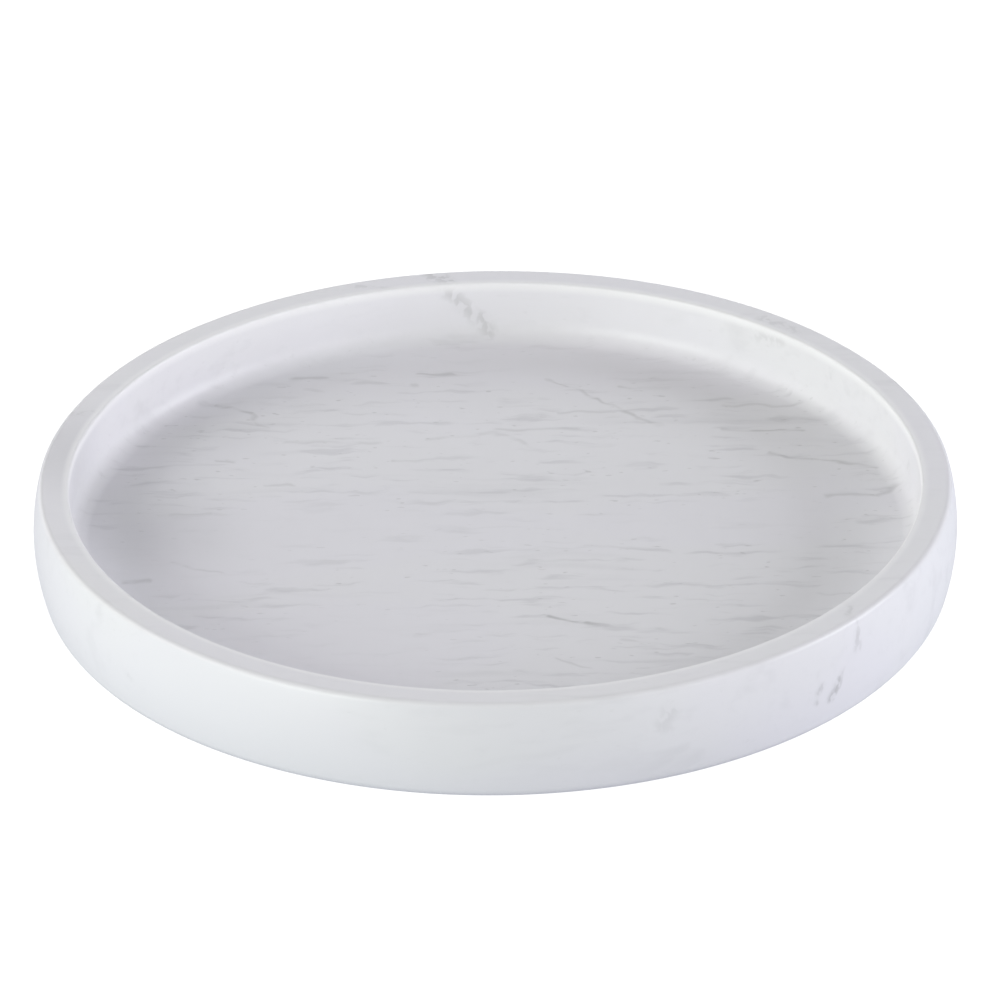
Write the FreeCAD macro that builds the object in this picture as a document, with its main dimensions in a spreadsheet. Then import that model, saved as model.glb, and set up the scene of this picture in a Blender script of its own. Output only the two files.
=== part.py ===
import FreeCAD, Part
import math
import os

import Sketcher

# Round vanity tray turned from one block of white marble. It stands on four self-adhesive felt
# pads. Millimetres, +Z up. The origin is on the surface that the tray stands on, under its centre.

SIZES = (
    ("overall_diameter", 305.0, "across the widest line of the outer wall"),
    ("stone_height", 36.2, "underside of the stone to the rim"),
    ("barrel_radius", 58.5, "radius of the outer wall's upright curve"),
    ("waist_height", 20.8, "underside of the stone to the wall's widest line"),
    ("rim_width", 10.0, "flat rim between the outer and inner walls, before its edges are eased"),
    ("floor_thickness", 15.7, "underside of the stone to the floor of the hollow"),
    ("rim_outer_round", 2.2, "eased edge between the rim and the outer wall"),
    ("rim_inner_round", 1.0, "eased edge between the rim and the inner wall"),
    ("floor_fillet", 6.5, "hollow corner between the inner wall and the floor"),
    ("foot_round", 5.5, "eased edge between the outer wall and the underside"),
    ("felt_diameter", 20.0, "felt pad"),
    ("felt_thickness", 1.5, "felt pad, without its adhesive"),
    ("glue_diameter", 19.4, "adhesive disc, a little smaller than its pad"),
    ("glue_thickness", 0.2, "adhesive disc"),
    ("pad_inset", 42.5, "widest line of the wall inwards to a pad's centre"),
)

PAD_ANGLES = {"front_left": 225, "front_right": 315, "back_right": 45, "back_left": 135}
EDGE_TOLERANCE = 0.001


def fill_sheet(doc):
    sheet = doc.addObject("Spreadsheet::Sheet", "Sizes")
    for row, (alias, value, note) in enumerate(SIZES, start=1):
        sheet.set(f"A{row}", alias)
        sheet.set(f"B{row}", str(value))
        sheet.set(f"C{row}", note)
        sheet.setAlias(f"B{row}", alias)
    doc.recompute()
    return sheet


def origin_plane(body, role):
    return next(feature for feature in body.Origin.OriginFeatures if feature.Role == role)


def draw_section(body, sheet):
    """Half section of the tray in the XZ plane: underside, barrel wall, rim, inner wall, floor."""
    widest = sheet.overall_diameter / 2
    centre = FreeCAD.Vector(widest - sheet.barrel_radius, sheet.waist_height, 0)
    foot_angle = -math.asin(sheet.waist_height / sheet.barrel_radius)
    rim_angle = math.asin((sheet.stone_height - sheet.waist_height) / sheet.barrel_radius)
    barrel = Part.ArcOfCircle(
        Part.Circle(centre, FreeCAD.Vector(0, 0, 1), sheet.barrel_radius), foot_angle, rim_angle
    )
    rim_outer = barrel.EndPoint
    inner = rim_outer.x - sheet.rim_width
    middle = FreeCAD.Vector(0, 0, 0)
    rim_inner = FreeCAD.Vector(inner, sheet.stone_height, 0)
    floor_outer = FreeCAD.Vector(inner, sheet.floor_thickness, 0)
    floor_middle = FreeCAD.Vector(0, sheet.floor_thickness, 0)

    sketch = body.newObject("Sketcher::SketchObject", "TraySection")
    sketch.AttachmentSupport = [(origin_plane(body, "XZ_Plane"), "")]
    sketch.MapMode = "FlatFace"
    underside = sketch.addGeometry(Part.LineSegment(middle, barrel.StartPoint))
    wall = sketch.addGeometry(barrel)
    rim = sketch.addGeometry(Part.LineSegment(rim_outer, rim_inner))
    inner_wall = sketch.addGeometry(Part.LineSegment(rim_inner, floor_outer))
    floor = sketch.addGeometry(Part.LineSegment(floor_outer, floor_middle))
    axis = sketch.addGeometry(Part.LineSegment(floor_middle, middle))

    start, end, centre_point, origin = 1, 2, 3, -1
    outline = (underside, wall, rim, inner_wall, floor, axis)
    for line, following in zip(outline, outline[1:]):
        sketch.addConstraint(Sketcher.Constraint("Coincident", line, end, following, start))
    sketch.addConstraint(Sketcher.Constraint("Coincident", underside, start, origin, start))
    sketch.addConstraint(Sketcher.Constraint("Coincident", axis, end, origin, start))
    for level in (underside, rim, floor):
        sketch.addConstraint(Sketcher.Constraint("Horizontal", level))
    for upright in (inner_wall, axis):
        sketch.addConstraint(Sketcher.Constraint("Vertical", upright))

    driven = (
        ("barrel", ("Radius", wall, sheet.barrel_radius), "Sizes.barrel_radius"),
        (
            "barrel_centre",
            ("DistanceX", origin, start, wall, centre_point, centre.x),
            "Sizes.overall_diameter / 2 - Sizes.barrel_radius",
        ),
        (
            "waist",
            ("DistanceY", origin, start, wall, centre_point, sheet.waist_height),
            "Sizes.waist_height",
        ),
        (
            "top",
            ("DistanceY", origin, start, wall, end, sheet.stone_height),
            "Sizes.stone_height",
        ),
        (
            "rim_width",
            ("DistanceX", rim, end, rim, start, sheet.rim_width),
            "Sizes.rim_width",
        ),
        (
            "floor_level",
            ("DistanceY", origin, start, floor, end, sheet.floor_thickness),
            "Sizes.floor_thickness",
        ),
    )
    for name, definition, expression in driven:
        index = sketch.addConstraint(Sketcher.Constraint(*definition))
        sketch.renameConstraint(index, name)
        sketch.setExpression(f"Constraints.{name}", expression)
    return sketch


def circles_at(shape, height, radius):
    """Names of the shape's circular edges about Z at a height and radius."""
    names = []
    for number, edge in enumerate(shape.Edges, start=1):
        if not isinstance(edge.Curve, Part.Circle):
            continue
        off = abs(edge.Curve.Center.z - height) + abs(edge.Curve.Radius - radius)
        if off < EDGE_TOLERANCE:
            names.append(f"Edge{number}")
    return names


def round_edges(doc, body, name, base, edges, alias):
    fillet = body.newObject("PartDesign::Fillet", name)
    fillet.Base = (base, edges)
    fillet.setExpression("Radius", f"Sizes.{alias}")
    doc.recompute()
    return fillet


def make_tray(doc, sheet):
    body = doc.addObject("PartDesign::Body", "TrayBody")
    body.Label = "tray_body"
    body.setExpression("Placement.Base.z", "Sizes.felt_thickness + Sizes.glue_thickness")
    section = draw_section(body, sheet)
    doc.recompute()
    turned = body.newObject("PartDesign::Revolution", "TurnedTray")
    turned.Profile = section
    turned.ReferenceAxis = (section, ["V_Axis"])
    turned.Angle = 360
    section.Visibility = False
    doc.recompute()

    foot, wall_top = (vertex.Point for vertex in section.Shape.Edges[1].Vertexes)
    if foot.z > wall_top.z:
        foot, wall_top = wall_top, foot
    inner = wall_top.x - sheet.rim_width
    edges = circles_at(turned.Shape, sheet.stone_height, wall_top.x)
    eased = round_edges(doc, body, "RimOuterRound", turned, edges, "rim_outer_round")
    edges = circles_at(eased.Shape, sheet.stone_height, inner)
    eased = round_edges(doc, body, "RimInnerRound", eased, edges, "rim_inner_round")
    edges = circles_at(eased.Shape, sheet.floor_thickness, inner)
    hollowed = round_edges(doc, body, "FloorFillet", eased, edges, "floor_fillet")
    edges = circles_at(hollowed.Shape, 0, foot.x)
    round_edges(doc, body, "FootRound", hollowed, edges, "foot_round")
    return body


def make_disc(doc, name, diameter, thickness, bottom, angle):
    """A die-cut disc under the stone, on the circle that the four pads share."""
    disc = doc.addObject("Part::Cylinder", name.title().replace("_", ""))
    disc.Label = name
    reach = "(Sizes.overall_diameter / 2 - Sizes.pad_inset)"
    disc.setExpression("Radius", f"Sizes.{diameter} / 2")
    disc.setExpression("Height", f"Sizes.{thickness}")
    disc.setExpression("Placement.Base.x", f"{reach} * cos({angle} deg)")
    disc.setExpression("Placement.Base.y", f"{reach} * sin({angle} deg)")
    disc.setExpression("Placement.Base.z", bottom)
    return disc


def make_pads(doc):
    pads = []
    for place, angle in PAD_ANGLES.items():
        pads.append(
            make_disc(doc, f"felt_pad_{place}", "felt_diameter", "felt_thickness", "0", angle)
        )
        pads.append(
            make_disc(
                doc,
                f"adhesive_disc_{place}",
                "glue_diameter",
                "glue_thickness",
                "Sizes.felt_thickness",
                angle,
            )
        )
    return pads


def check(doc, parts):
    for item in doc.Objects:
        faults = {"Invalid", "Error"} & set(item.State)
        if faults:
            raise RuntimeError(f"{item.Label} is {', '.join(sorted(faults))}")
    for part in parts:
        if part.Shape.isNull() or not part.Shape.isValid() or len(part.Shape.Solids) != 1:
            raise RuntimeError(f"{part.Label} isn't one valid solid")


doc = FreeCAD.newDocument("VanityTray")
sheet = fill_sheet(doc)
parts = [make_tray(doc, sheet), *make_pads(doc)]
doc.recompute()
check(doc, parts)

os.makedirs("parts", exist_ok=True)
for part in parts:
    part.Shape.exportStep(f"parts/{part.Label}.step")
    print(f"{part.Label}: {part.Shape.Volume / 1000:.2f} cm3, {part.Shape.optimalBoundingBox(False)}")
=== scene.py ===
import math

import bmesh
import bpy
from mathutils import Matrix, Vector, noise


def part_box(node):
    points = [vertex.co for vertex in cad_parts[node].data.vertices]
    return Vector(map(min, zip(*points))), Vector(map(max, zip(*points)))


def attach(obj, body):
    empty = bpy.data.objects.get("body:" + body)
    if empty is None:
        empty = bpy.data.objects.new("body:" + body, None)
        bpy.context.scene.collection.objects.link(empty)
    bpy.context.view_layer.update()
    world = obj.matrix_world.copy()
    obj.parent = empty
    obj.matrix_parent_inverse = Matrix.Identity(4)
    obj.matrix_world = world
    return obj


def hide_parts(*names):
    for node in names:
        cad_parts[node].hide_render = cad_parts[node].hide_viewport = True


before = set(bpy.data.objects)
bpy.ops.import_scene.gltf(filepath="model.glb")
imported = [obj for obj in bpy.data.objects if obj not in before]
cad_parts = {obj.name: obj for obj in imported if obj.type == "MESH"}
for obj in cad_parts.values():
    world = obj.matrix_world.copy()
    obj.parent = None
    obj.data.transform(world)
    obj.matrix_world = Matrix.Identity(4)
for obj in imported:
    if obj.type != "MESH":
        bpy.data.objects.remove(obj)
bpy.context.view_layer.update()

# ---------------------------------------------------------------------------------------------
# Tray: one block of white marble, turned on a lathe and honed by hand. The outer wall is barrel
# shaped, the rim is flat with eased edges, and the floor meets the inner wall in a hollow corner.

MM = 0.001
stone_low, stone_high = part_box("tray_body")
widest = (stone_high.x - stone_low.x) / 2
top = stone_high.z
BARREL_RADIUS = 58.5 * MM
waist = stone_low.z + 20.8 * MM
floor_level = stone_low.z + 15.7 * MM
RIM_WIDTH = 10 * MM
RIM_OUTER_ROUND = 2.2 * MM
RIM_INNER_ROUND = 1 * MM
FLOOR_FILLET = 6.5 * MM
FOOT_ROUND = 5.5 * MM
TURNS = 288
WELD = 0.005 * MM

# The hand leaves broad swells in the stone and shorter ones on them, in repeats to the metre.
HAND_WAVE = 0.07 * MM
LONG_SWELL = 26
SHORT_SWELL = 60


def draw_to(bm, corner, x, z, steps):
    """Carries the section on from a corner in a straight line, in equal steps."""
    start = corner.co.copy()
    end = Vector((x, 0, z))
    for step in range(1, steps + 1):
        corner = bmesh.ops.extrude_vert_indiv(bm, verts=[corner])["verts"][0]
        corner.co = start.lerp(end, step / steps)
    return corner


def draw_arc(bm, corner, x, z, turn, steps):
    """Carries the section on from a corner in an arc about a centre, anticlockwise from the front."""
    swept = bmesh.ops.spin(
        bm, geom=[corner], cent=(x, 0, z), axis=(0, -1, 0), angle=turn, steps=steps
    )
    return next(item for item in swept["geom_last"] if isinstance(item, bmesh.types.BMVert))


def inside_barrel(level, inset):
    """Across and angle of a point that stands inset from the barrel's curve, at a level."""
    reach = BARREL_RADIUS - inset
    rise = level - waist
    return barrel_x + math.sqrt(reach**2 - rise**2), math.asin(rise / reach)


barrel_x = widest - BARREL_RADIUS
foot_x, foot_angle = inside_barrel(stone_low.z + FOOT_ROUND, FOOT_ROUND)
rim_x, rim_angle = inside_barrel(top - RIM_OUTER_ROUND, RIM_OUTER_ROUND)
inner_x = inside_barrel(top, 0)[0] - RIM_WIDTH

bm = bmesh.new()
point = bm.verts.new((0, 0, stone_low.z))
point = draw_to(bm, point, foot_x, stone_low.z, steps=24)
foot_turn = math.pi / 2 + foot_angle
rim_turn = math.pi / 2 - rim_angle
corner_x, corner_z = inner_x - FLOOR_FILLET, floor_level + FLOOR_FILLET
edge_x, edge_z = inner_x + RIM_INNER_ROUND, top - RIM_INNER_ROUND
point = draw_arc(bm, point, foot_x, stone_low.z + FOOT_ROUND, foot_turn, steps=10)
point = draw_arc(bm, point, barrel_x, waist, rim_angle - foot_angle, steps=24)
point = draw_arc(bm, point, rim_x, top - RIM_OUTER_ROUND, rim_turn, steps=12)
point = draw_to(bm, point, edge_x, top, steps=6)
point = draw_arc(bm, point, edge_x, edge_z, math.pi / 2, steps=10)
point = draw_to(bm, point, inner_x, corner_z, steps=8)
point = draw_arc(bm, point, corner_x, corner_z, -math.pi / 2, steps=14)
point = draw_to(bm, point, 0, floor_level, steps=40)
bmesh.ops.spin(
    bm,
    geom=bm.verts[:] + bm.edges[:],
    cent=(0, 0, 0),
    axis=(0, 0, 1),
    angle=math.tau,
    steps=TURNS,
    use_merge=True,
)
bmesh.ops.remove_doubles(bm, verts=bm.verts[:], dist=WELD)
bmesh.ops.recalc_face_normals(bm, faces=bm.faces[:])
bm.normal_update()
for vertex in bm.verts:
    swell = noise.noise(vertex.co * LONG_SWELL) + 0.5 * noise.noise(vertex.co * SHORT_SWELL)
    above_underside = min(1, (vertex.co.z - stone_low.z) / FOOT_ROUND)
    vertex.co += vertex.normal * (HAND_WAVE * (swell - 1) * above_underside)

mesh = bpy.data.meshes.new("tray_stone")
bm.to_mesh(mesh)
bm.free()
mesh.shade_smooth()
tray = bpy.data.objects.new("tray_stone", mesh)
bpy.context.scene.collection.objects.link(tray)
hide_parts("tray_body")
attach(tray, "root")


class Wire:
    """A socket of a material's nodes. Sums of wires add Math nodes; node() adds any other."""

    def __init__(self, tree, socket=None):
        self.tree = tree
        self.socket = socket

    def node(self, kind, settings=None, inputs=None, output=0):
        made = self.tree.nodes.new(kind)
        for name, value in (settings or {}).items():
            setattr(made, name, value)
        for name, value in (inputs or {}).items():
            if isinstance(value, Wire):
                self.tree.links.new(value.socket, made.inputs[name])
            else:
                made.inputs[name].default_value = value
        return Wire(self.tree, made.outputs[output])

    def math(self, operation, first, second=0.0, clamp=False):
        return self.node(
            "ShaderNodeMath", {"operation": operation, "use_clamp": clamp}, {0: first, 1: second}
        )

    def vector(self, operation, *others, output=0):
        inputs = dict(enumerate((self, *others)))
        return self.node("ShaderNodeVectorMath", {"operation": operation}, inputs, output)

    def span(self, low, high, to_low=0.0, to_high=1.0):
        """Eases from to_low to to_high as the wire goes from low to high."""
        return self.node(
            "ShaderNodeMapRange",
            {"interpolation_type": "SMOOTHSTEP"},
            {"Value": self, "From Min": low, "From Max": high, "To Min": to_low, "To Max": to_high},
        )

    def grain(self, scale=1.0, detail=2.0, output=0):
        """Noise at this place: scale is in repeats to the metre."""
        inputs = {"Vector": self, "Scale": scale, "Detail": detail}
        return self.node("ShaderNodeTexNoise", {"noise_dimensions": "3D"}, inputs, output)

    def shaken(self, scale, reach):
        """This place moved about by noise, by up to about half the reach each way."""
        noise_colour = self.grain(scale, 1, output=1)
        push = noise_colour.vector("MULTIPLY_ADD", reach, tuple(-part / 2 for part in reach))
        return self.vector("ADD", push)

    def blend(self, other, share):
        """Mixes this colour with another one by a share."""
        return mixed(self.tree, self, other, share)

    def __add__(self, other):
        return self.math("ADD", self, other)

    def __mul__(self, other):
        return self.math("MULTIPLY", self, other)

    def __or__(self, other):
        return self.math("MAXIMUM", self, other)

    __radd__ = __add__
    __rmul__ = __mul__
    __ror__ = __or__


def mixed(tree, first, second, share):
    settings = {"data_type": "RGBA", "clamp_factor": True}
    return Wire(tree).node("ShaderNodeMix", settings, {0: share, 6: first, 7: second}, 2)


def new_finish(name, **constants):
    """A material with one Principled shader, its constants set on the shader's own sockets."""
    material = bpy.data.materials.new(name)
    material.use_nodes = True
    shader = material.node_tree.nodes["Principled BSDF"]
    for socket, value in constants.items():
        shader.inputs[socket.replace("_", " ")].default_value = value
    place = Wire(material.node_tree).node("ShaderNodeTexCoord", output=3)
    return material, shader, place


def plug(wire, shader, socket):
    wire.tree.links.new(wire.socket, shader.inputs[socket])


# Veins as the block shows them where it was cut: ends in millimetres, then width and strength.
# The first list lies on the floor, and the second crosses the rim and the walls.
FLOOR_VEINS = (
    ((17, 110), (35, 95), 1.3, 0.4),
    ((35, 95), (54, 76), 1.5, 0.6),
    ((22, 86), (40, 86), 1.4, 0.4),
    ((43, 104), (57, 102), 1.6, 0.45),
    ((77, 90), (106, 90), 1.4, 0.35),
    ((77, 73), (103, 72), 1.2, 0.6),
    ((90, 56), (111, 50), 1.5, 0.45),
    ((111, 50), (127, 45), 1.8, 0.6),
    ((109, 26), (127, 27), 1.5, 0.45),
    ((127, 27), (135, 33), 1.8, 0.45),
    ((-92, 94), (-83, 88), 1.5, 0.6),
    ((-83, 88), (-75, 78), 1.3, 0.4),
    ((-67, 112), (-58, 112), 1.8, 0.5),
    ((-26, 115), (-14, 114), 1.7, 0.5),
    ((-93, 55), (-86, 54), 1.5, 0.45),
    ((-77, 37), (-67, 37), 1.4, 0.4),
    ((-114, 17), (-95, 17), 1.3, 0.3),
    ((-107, -16), (-90, -23), 1.2, 0.3),
    ((-124, -28), (-113, -27), 1.8, 0.5),
    ((18, -55), (35, -62), 1.7, 0.9),
    ((19, -84), (30, -90), 1.4, 0.35),
    ((42, -71), (48, -73), 1.3, 0.3),
    ((-24, -67), (-23, -67), 2.0, 0.45),
    ((-22, 69), (0, 72), 1.8, 0.3),
    ((0, 72), (15, 60), 1.5, 0.3),
    ((0, 74), (28, 75), 1.9, 0.4),
    ((-69, 68), (-40, 66), 1.9, 0.28),
    ((-34, 53), (-21, 53), 1.5, 0.35),
    ((-28, 107), (-27, 107), 1.9, 0.35),
)
WALL_VEINS = (
    ((-19, 147, 38), (-17, 140, 37), 4.0, 0.55),
    ((-17, 140, 37), (-1, 140, 19), 4.2, 0.5),
    ((-47, 139, 38), (-35, 137, 38), 2.6, 0.3),
    ((-141, 51, 38), (-134, 50, 38), 3.0, 0.3),
    ((90, 112, 38), (101, 105, 38), 3.6, 0.35),
    ((88, 109, 33), (95, 103, 35), 4.2, 0.3),
    ((113, 84, 34), (112, 84, 31), 2.4, 0.3),
    ((137, 33, 22), (138, 30, 27), 2.0, 0.4),
    ((115, -85, 38), (115, -93, 38), 2.4, 0.35),
    ((118, -96, 36), (117, -97, 27), 2.4, 0.55),
    ((112, -102, 22), (109, -106, 14), 2.8, 0.8),
    ((105, -110, 25), (104, -111, 15), 2.4, 0.55),
    ((57, -141, 30), (54, -142, 25), 5.0, 0.25),
    ((-120, -93, 19), (-115, -99, 16), 2.2, 0.15),
)


def vein_mask(place, start, end, width, strength):
    """How strongly a vein shows at a place: strength on its line, and none at its width."""
    start = Vector(start) * MM
    along = Vector(end) * MM - start
    offset = place.vector("SUBTRACT", tuple(start))
    share = offset.vector("DOT_PRODUCT", tuple(along / along.length_squared), output=1)
    share = share.math("MULTIPLY", share, 1.0, clamp=True)
    back = place.node("ShaderNodeVectorMath", {"operation": "SCALE"}, {0: tuple(-along), "Scale": share})
    away = offset.vector("ADD", back).vector("LENGTH", output=1)
    return away.span(0, width * MM, strength, 0)


def lay_veins(place, veins):
    total = 0.0
    for vein in veins:
        total = vein_mask(place, *vein) | total
    return total


marble, shader, place = new_finish("marble", Roughness=0.42, IOR=1.5)

# The bedding of the block runs along X, so the streaks, dashes and specks in it are drawn out
# that way. Veins break up into crumbs where they cross the rim and the walls.
bedding = place.shaken(24, (0.022, 0.010, 0.014))
torn = place.shaken(110, (0.010, 0.005, 0.001))

cloud = bedding.vector("MULTIPLY", (7, 17, 17)).grain(1, 2)
streak = bedding.vector("MULTIPLY", (11, 110, 80)).grain(1, 3)
dash = torn.vector("MULTIPLY", (44, 270, 240)).grain(1, 3)
fleck = torn.vector("MULTIPLY", (90, 300, 300)).grain(1, 1)
crumb = place.vector("MULTIPLY", (420, 420, 300)).grain(1, 1)
speck = place.vector("MULTIPLY", (240, 560, 560)).grain(1, 1)

# Grey is strongest on the floor and faint on the outer wall, and a painted highlight lightens the rim
# beside its inner edge to white.
height = place.node("ShaderNodeSeparateXYZ", None, {0: place}, 2)
across = place.vector("MULTIPLY", (1, 1, 0)).vector("LENGTH", output=1)
hollowed = across.span(inner_x - 5 * MM, inner_x + 1 * MM, 1, 0.15)
under_rim = across.span(inner_x + RIM_WIDTH - 2 * MM, inner_x + RIM_WIDTH + 1 * MM, 1, 0.2)
# Painted highlight: a white band on the rim just beside the inner edge, near the top, standing in for
# light glowing through the thin lip.
painted_edge_highlight = across.span(inner_x + 0.8 * MM, inner_x + 3.2 * MM, 1, 0)
painted_edge_highlight = painted_edge_highlight * height.span(top - 4 * MM, top - 1 * MM)
soft = streak.span(0.54, 0.74) * cloud.span(0.34, 0.60)
fine = dash.span(0.53, 0.74) * cloud.span(0.32, 0.54) * hollowed
specks = speck.span(0.69, 0.80) * cloud.span(0.30, 0.54) * hollowed
# A broad grey patch over the left rim, inner wall and floor corner, faded out on the outer wall: partly
# a grey cloud in the stone, partly painted shade in the left floor corner.
left_cloud_and_shade = vein_mask(bedding, (-150, 30, 38), (-112, 8, 20), 42, 1.0) * under_rim
level = floor_level / MM
on_floor = [((*start, level), (*end, level), *rest) for start, end, *rest in FLOOR_VEINS]
placed = lay_veins(torn, on_floor) * fleck.span(0.36, 0.56, 0.25, 1.0)
placed = placed | lay_veins(torn, WALL_VEINS) * crumb.span(0.42, 0.58, 0.2, 1.0)

COOL_WHITE = (0.869, 0.861, 0.897, 1)
PEARL_WHITE = (0.869, 0.865, 0.888, 1)
# The white of the painted highlight along the inner edge.
PAINTED_HIGHLIGHT_WHITE = (0.975, 0.972, 0.985, 1)
STREAK_GREY = (0.66, 0.655, 0.68, 1)
VEIN_GREY = (0.34, 0.34, 0.34, 1)

stone = mixed(place.tree, COOL_WHITE, PEARL_WHITE, cloud.span(0.42, 0.60))
stone = stone.blend(STREAK_GREY, soft * 0.25)
# Greys the left side: a cloud in the stone, with painted shade in the left floor corner.
stone = stone.blend(STREAK_GREY, left_cloud_and_shade * 0.55)
stone = stone.blend(STREAK_GREY, fine * 0.6)
stone = stone.blend(VEIN_GREY, specks * 0.3)
stone = stone.blend(VEIN_GREY, placed * 0.6)
# Painted highlight: lightens the stone to white along the inner edge.
stone = stone.blend(PAINTED_HIGHLIGHT_WHITE, painted_edge_highlight * 0.8)
plug(stone, shader, "Base Color")

crystals = place.grain(2600, 1)
honing = place.grain(420, 1)
plug(honing.span(0.3, 0.7, 0.38, 0.46), shader, "Roughness")
surface = crystals * 0.5 + honing * 0.5
bump = place.node("ShaderNodeBump", None, {"Strength": 0.06, "Distance": 0.0003, "Height": surface})
plug(bump, shader, "Normal")
tray.data.materials.append(marble)

# ---------------------------------------------------------------------------------------------
# Felt pads: four discs die-cut from off-white pressed felt, stuck under the stone so that it
# neither slides on a dresser nor scratches it. The adhesive film is a milky disc above each.

PAD_PLACES = ("front_left", "front_right", "back_left", "back_right")
PAD_EDGE = 0.25 * MM
PAD_RINGS = 12
FUZZ = 0.06 * MM
GLUE_EDGE = 0.03 * MM
GLUE_RINGS = 2

felt, shader, place = new_finish("felt", Roughness=1.0, Sheen_Weight=0.4, Sheen_Roughness=0.6)
matted = place.shaken(900, (0.004, 0.004, 0.002))
fibres = matted.vector("MULTIPLY", (900, 5200, 2600)).grain(1, 3)
crossing = matted.vector("MULTIPLY", (5200, 900, 2600)).grain(1, 3)
mat_height = fibres | crossing
wool = mixed(place.tree, (0.56, 0.54, 0.49, 1), (0.83, 0.81, 0.76, 1), mat_height.span(0.35, 0.7))
wool = wool.blend((0.46, 0.44, 0.40, 1), place.grain(700, 2).span(0.55, 0.75) * 0.35)
plug(wool, shader, "Base Color")
bump = place.node("ShaderNodeBump", None, {"Strength": 0.7, "Distance": 0.0002, "Height": mat_height})
plug(bump, shader, "Normal")

film, shader, place = new_finish("adhesive", Roughness=0.35, IOR=1.47)
milk = place.grain(500, 2).span(0.4, 0.7)
plug(mixed(place.tree, (0.72, 0.72, 0.69, 1), (0.82, 0.82, 0.80, 1), milk), shader, "Base Color")
plug(milk.span(0, 1, 0.3, 0.5), shader, "Roughness")


def die_cut(name, node, finish, edge, rings, roughen):
    """A disc in a CAD node's place, with eased edges and faces fine enough to be roughened."""
    low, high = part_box(node)
    middle = (low + high) / 2
    radius = (high.x - low.x) / 2
    bm = bmesh.new()
    bmesh.ops.create_circle(bm, segments=96, radius=radius, cap_ends=True)
    raised = bmesh.ops.extrude_face_region(bm, geom=bm.faces[:])["geom"]
    lifted = [item for item in raised if isinstance(item, bmesh.types.BMVert)]
    bmesh.ops.translate(bm, verts=lifted, vec=(0, 0, high.z - low.z))
    rims = [item for item in bm.edges if len(item.link_faces) == 2 and item.calc_face_angle() > 1]
    bmesh.ops.bevel(
        bm, geom=rims, offset=edge, segments=3, profile=0.5, affect="EDGES", material=-1
    )
    for ring in range(rings):
        faces = [face for face in bm.faces if len(face.verts) > 4]
        bmesh.ops.inset_region(bm, faces=faces, thickness=radius / (rings + 1))
    bmesh.ops.poke(bm, faces=[face for face in bm.faces if len(face.verts) > 4])
    bmesh.ops.translate(bm, verts=bm.verts[:], vec=(middle.x, middle.y, low.z))
    bmesh.ops.recalc_face_normals(bm, faces=bm.faces[:])
    bm.normal_update()
    for vertex in bm.verts:
        vertex.co += vertex.normal * (roughen * (noise.noise(vertex.co * 2400) - 1) / 2)
    mesh = bpy.data.meshes.new(name)
    bm.to_mesh(mesh)
    bm.free()
    mesh.shade_smooth()
    mesh.materials.append(finish)
    disc = bpy.data.objects.new(name, mesh)
    bpy.context.scene.collection.objects.link(disc)
    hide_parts(node)
    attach(disc, "root")
    return disc


for pad_place in PAD_PLACES:
    node = f"felt_pad_{pad_place}"
    pad = die_cut(f"pad_{pad_place}", node, felt, PAD_EDGE, PAD_RINGS, FUZZ)
    node = f"adhesive_disc_{pad_place}"
    glue = die_cut(f"glue_{pad_place}", node, film, GLUE_EDGE, GLUE_RINGS, roughen=0)

# ---------------------------------------------------------------------------------------------
# Studio: a plain white table in a light tent, lit by soft boxes that stand about it. The table
# and the tent look white, and throw only a little light back on the tray.

TABLE_SIZE = 40
TABLE_GLOW = (0.27, 0.29, 0.33, 1)
TENT_GLOW = (0.17, 0.17, 0.17, 1)
FULL_WHITE = (1, 1, 1, 1)

bm = bmesh.new()
bmesh.ops.create_grid(bm, x_segments=1, y_segments=1, size=TABLE_SIZE / 2)
mesh = bpy.data.meshes.new("table")
bm.to_mesh(mesh)
bm.free()
table = bpy.data.objects.new("table", mesh)
bpy.context.scene.collection.objects.link(table)
paper, shader, place = new_finish(
    "white_paper",
    Base_Color=(0.25, 0.25, 0.25, 1),
    Roughness=1.0,
    Specular_IOR_Level=0.0,
    Emission_Strength=1.0,
)
seen = place.node("ShaderNodeLightPath")
plug(mixed(place.tree, TABLE_GLOW, FULL_WHITE, seen), shader, "Emission Color")
mesh.materials.append(paper)

tent = bpy.data.worlds.new("tent")
bpy.context.scene.world = tent
tent.use_nodes = True
seen = Wire(tent.node_tree).node("ShaderNodeLightPath")
background = tent.node_tree.nodes["Background"]
plug(mixed(tent.node_tree, TENT_GLOW, FULL_WHITE, seen), background, "Color")

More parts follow.
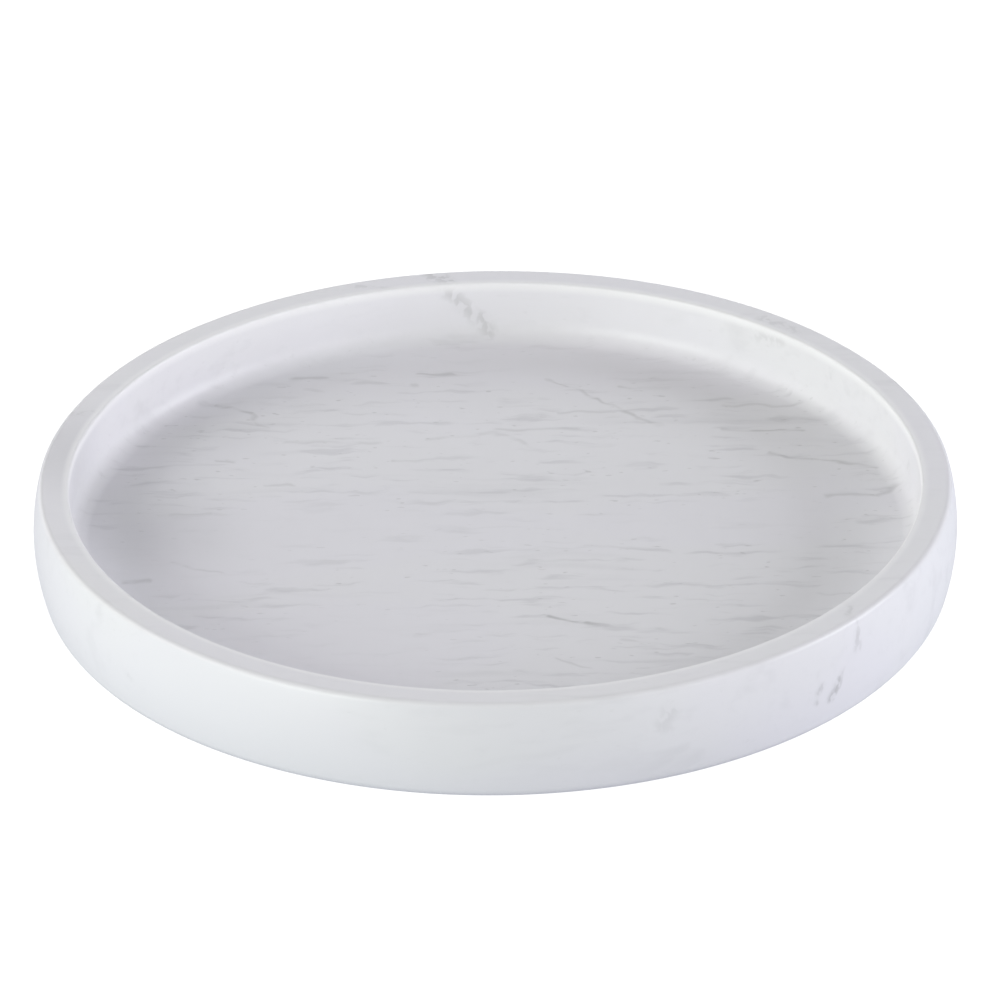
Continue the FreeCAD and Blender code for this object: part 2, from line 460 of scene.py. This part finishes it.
SOFT_BOXES = (
    ("front_left_box", (-1.55, -1.55, 0.6), (1.1, 1.1), 27.5, (0.94, 1.0, 0.92)),
    ("front_right_box", (1.55, -1.55, 0.6), (1.1, 1.1), 8.8, (1.0, 0.92, 0.98)),
    ("right_box", (2.19, 0.0, 0.6), (1.1, 1.1), 29.6, (0.97, 1.0, 1.04)),
    ("left_box", (-1.9, 0.0, 1.1), (1.1, 1.1), 12.9, (1.0, 0.95, 1.0)),
    ("back_left_box", (-1.55, 1.55, 0.6), (1.1, 1.1), 3.6, (1.0, 1.0, 1.0)),
    ("back_box", (0.0, 1.9, 1.1), (1.1, 1.1), 6.6, (0.98, 1.0, 1.05)),
    ("horizon_strip", (0.0, 2.6, 0.26), (4.6, 0.45), 12.0, (1.0, 1.0, 1.0)),
)
for name, spot, size, watts, tint in SOFT_BOXES:
    light = bpy.data.lights.new(name, "AREA")
    light.shape = "RECTANGLE"
    light.size, light.size_y = size
    light.energy = watts
    light.color = tint
    soft_box = bpy.data.objects.new(name, light)
    soft_box.location = spot
    soft_box.rotation_euler = (-Vector(spot)).to_track_quat("-Z", "Y").to_euler()
    soft_box.visible_camera = False
    bpy.context.scene.collection.objects.link(soft_box)

# ---------------------------------------------------------------------------------------------
# Camera: a long lens well above the front of the table, tipped a little to one side.

ELEVATION = math.radians(28.45)
DISTANCE = 6.018
TILT = math.radians(0.6)
LENS = 657.2
SENSOR = 36
AIM_RIGHT = 1.6 * MM
AIM_DOWN = 6 * MM
rim_centre = Vector((0, 0, top))
lens_side = Vector((0, -math.cos(ELEVATION), math.sin(ELEVATION)))
upwards = Vector((0, math.sin(ELEVATION), math.cos(ELEVATION)))
camera_data = bpy.data.cameras.new("camera")
camera_data.sensor_width = SENSOR
camera_data.lens = LENS
camera_data.clip_end = 100
camera = bpy.data.objects.new("camera", camera_data)
camera.location = rim_centre + lens_side * DISTANCE
aim = rim_centre + Vector((AIM_RIGHT, 0, 0)) - upwards * AIM_DOWN
turn = (aim - camera.location).to_track_quat("-Z", "Y").to_matrix()
camera.rotation_euler = (turn @ Matrix.Rotation(-TILT, 3, "Z")).to_euler()
bpy.context.scene.collection.objects.link(camera)
bpy.context.scene.camera = camera
bpy.context.scene.view_settings.view_transform = "Standard"
